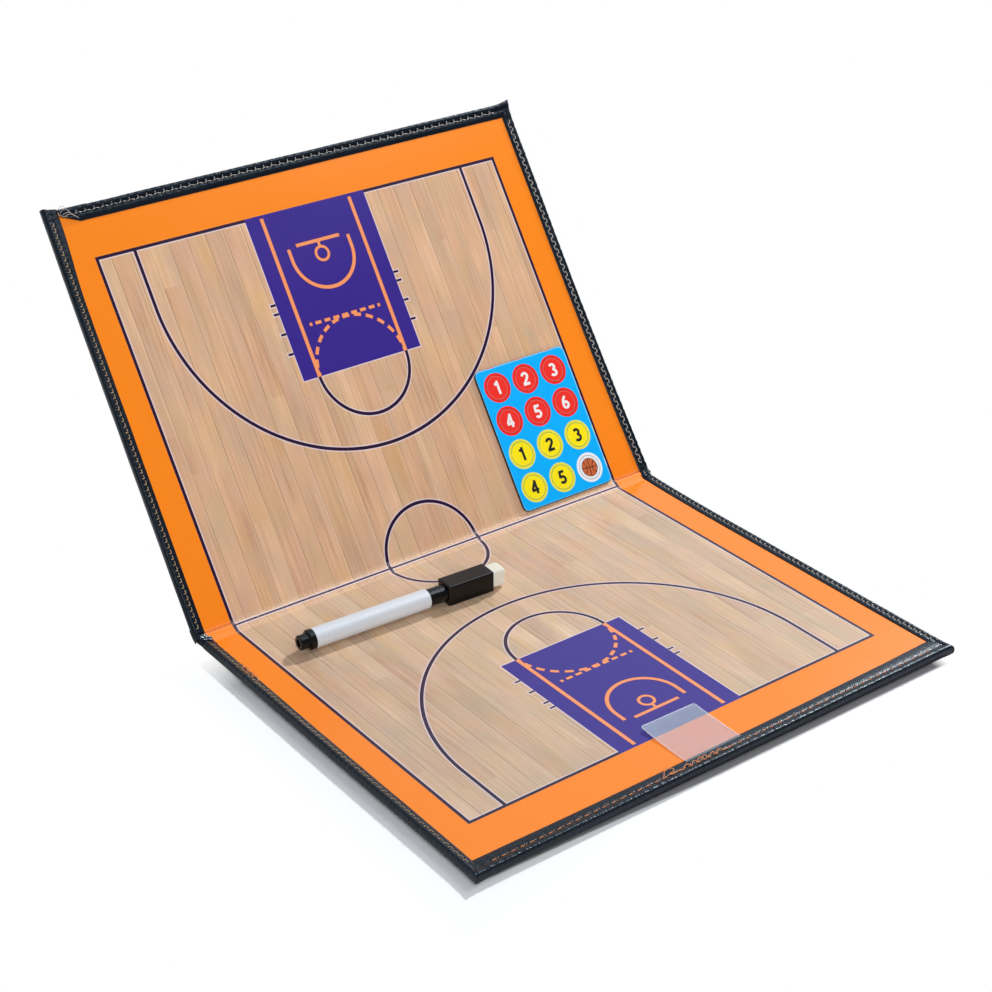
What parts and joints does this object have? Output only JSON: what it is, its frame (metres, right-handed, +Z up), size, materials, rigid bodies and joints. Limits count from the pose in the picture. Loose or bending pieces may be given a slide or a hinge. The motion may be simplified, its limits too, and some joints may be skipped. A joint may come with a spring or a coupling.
{
  "type": "folding tactics board",
  "caption": "Folding leather-bound coaching board with a printed basketball court, magnetic numbered tokens on a peel-off sheet, a dry-wipe pen and a clear closing tab.",
  "frame": {"origin": "middle of the base panel's underside", "axes": "+X along the spine to the right, +Y from the front edge to the spine, +Z up"},
  "size_m": [0.267, 0.3353, 0.1758],
  "materials": {
    "navy_leather": "grained",
    "greyboard": "matt",
    "sheet_steel": "rolled",
    "court_print": "laminated print",
    "clear_plastic": "milky clear",
    "white_plastic": "moulded",
    "black_plastic": "moulded",
    "ink_fibre": "inked fibre",
    "eraser_felt": "felt",
    "blue_print": "magnet rubber with a laminated print",
    "red_print": "magnet rubber with a laminated print",
    "yellow_print": "magnet rubber with a laminated print",
    "white_print": "magnet rubber with a laminated print"
  },
  "bodies": {
    "base": {"base_leather": "navy_leather", "base_board": "greyboard", "base_steel_sheet": "sheet_steel", "base_court_sheet": "court_print", "base_binding_front": "navy_leather", "base_binding_left": "navy_leather", "base_binding_right": "navy_leather", "tab_tail": "clear_plastic"},
    "spine": {"spine_leather": "navy_leather", "spine_board": "greyboard", "spine_court_strip": "court_print", "spine_binding_left": "navy_leather", "spine_binding_right": "navy_leather", "crease_leather_lower": "navy_leather", "crease_leather_upper": "navy_leather"},
    "cover": {"cover_leather": "navy_leather", "cover_board": "greyboard", "cover_steel_sheet": "sheet_steel", "cover_court_sheet": "court_print", "cover_binding_top": "navy_leather", "cover_binding_left": "navy_leather", "cover_binding_right": "navy_leather"},
    "tab": {"closing_tab": "clear_plastic"},
    "pen": {"pen_barrel": "white_plastic", "pen_end_plug": "black_plastic", "ink_reservoir": "ink_fibre", "nib_holder": "black_plastic", "pen_nib": "ink_fibre"},
    "pen_cap": {"pen_cap": "black_plastic", "cap_eraser": "eraser_felt"},
    "token_sheet": {"token_carrier": "blue_print"},
    "token_red_1": {"token_red_1": "red_print"},
    "token_red_2": {"token_red_2": "red_print"},
    "token_red_3": {"token_red_3": "red_print"},
    "token_red_4": {"token_red_4": "red_print"},
    "token_red_5": {"token_red_5": "red_print"},
    "token_red_6": {"token_red_6": "red_print"},
    "token_yellow_1": {"token_yellow_1": "yellow_print"},
    "token_yellow_2": {"token_yellow_2": "yellow_print"},
    "token_yellow_3": {"token_yellow_3": "yellow_print"},
    "token_yellow_4": {"token_yellow_4": "yellow_print"},
    "token_yellow_5": {"token_yellow_5": "yellow_print"},
    "token_ball": {"token_ball": "white_print"}
  },
  "joints": [
    {"name": "spine_fold", "type": "hinge", "parent": "base", "child": "spine", "pos_m": [0, 0.1045, 0.0045], "axis": [-1, 0, 0], "range_deg": [-56.6, 27.4], "deforming": ["crease_leather_lower"]},
    {"name": "cover_fold", "type": "hinge", "parent": "spine", "child": "cover", "pos_m": [0, 0.10894, 0.0068], "axis": [-1, 0, 0], "range_deg": [-56.6, 27.4], "deforming": ["crease_leather_upper"]},
    {"name": "tab_fold", "type": "hinge", "parent": "base", "child": "tab", "pos_m": [-0.005, -0.0946, 0.0051], "axis": [1, 0, 0], "range_deg": [0, 135]},
    {"name": "pen_lift", "type": "slide", "parent": "base", "child": "pen", "axis": [0, 0, 1], "range_m": [0, 0.08]},
    {"name": "cap_pull", "type": "slide", "parent": "pen", "child": "pen_cap", "axis": [0.9988, -0.0488, 0], "range_m": [0, 0.03]},
    {"name": "sheet_peel", "type": "slide", "parent": "cover", "child": "token_sheet", "axis": [0, -0.8171, 0.5764], "range_m": [0, 0.04]},
    {"name": "red_1_lift", "type": "slide", "parent": "token_sheet", "child": "token_red_1", "axis": [0, -0.8171, 0.5764], "range_m": [0, 0.012]},
    {"name": "red_2_lift", "type": "slide", "parent": "token_sheet", "child": "token_red_2", "axis": [0, -0.8171, 0.5764], "range_m": [0, 0.012]},
    {"name": "red_3_lift", "type": "slide", "parent": "token_sheet", "child": "token_red_3", "axis": [0, -0.8171, 0.5764], "range_m": [0, 0.012]},
    {"name": "red_4_lift", "type": "slide", "parent": "token_sheet", "child": "token_red_4", "axis": [0, -0.8171, 0.5764], "range_m": [0, 0.012]},
    {"name": "red_5_lift", "type": "slide", "parent": "token_sheet", "child": "token_red_5", "axis": [0, -0.8171, 0.5764], "range_m": [0, 0.012]},
    {"name": "red_6_lift", "type": "slide", "parent": "token_sheet", "child": "token_red_6", "axis": [0, -0.8171, 0.5764], "range_m": [0, 0.012]},
    {"name": "yellow_1_lift", "type": "slide", "parent": "token_sheet", "child": "token_yellow_1", "axis": [0, -0.8171, 0.5764], "range_m": [0, 0.012]},
    {"name": "yellow_2_lift", "type": "slide", "parent": "token_sheet", "child": "token_yellow_2", "axis": [0, -0.8171, 0.5764], "range_m": [0, 0.012]},
    {"name": "yellow_3_lift", "type": "slide", "parent": "token_sheet", "child": "token_yellow_3", "axis": [0, -0.8171, 0.5764], "range_m": [0, 0.012]},
    {"name": "yellow_4_lift", "type": "slide", "parent": "token_sheet", "child": "token_yellow_4", "axis": [0, -0.8171, 0.5764], "range_m": [0, 0.012]},
    {"name": "yellow_5_lift", "type": "slide", "parent": "token_sheet", "child": "token_yellow_5", "axis": [0, -0.8171, 0.5764], "range_m": [0, 0.012]},
    {"name": "ball_lift", "type": "slide", "parent": "token_sheet", "child": "token_ball", "axis": [0, -0.8171, 0.5764], "range_m": [0, 0.012]}
  ]
}
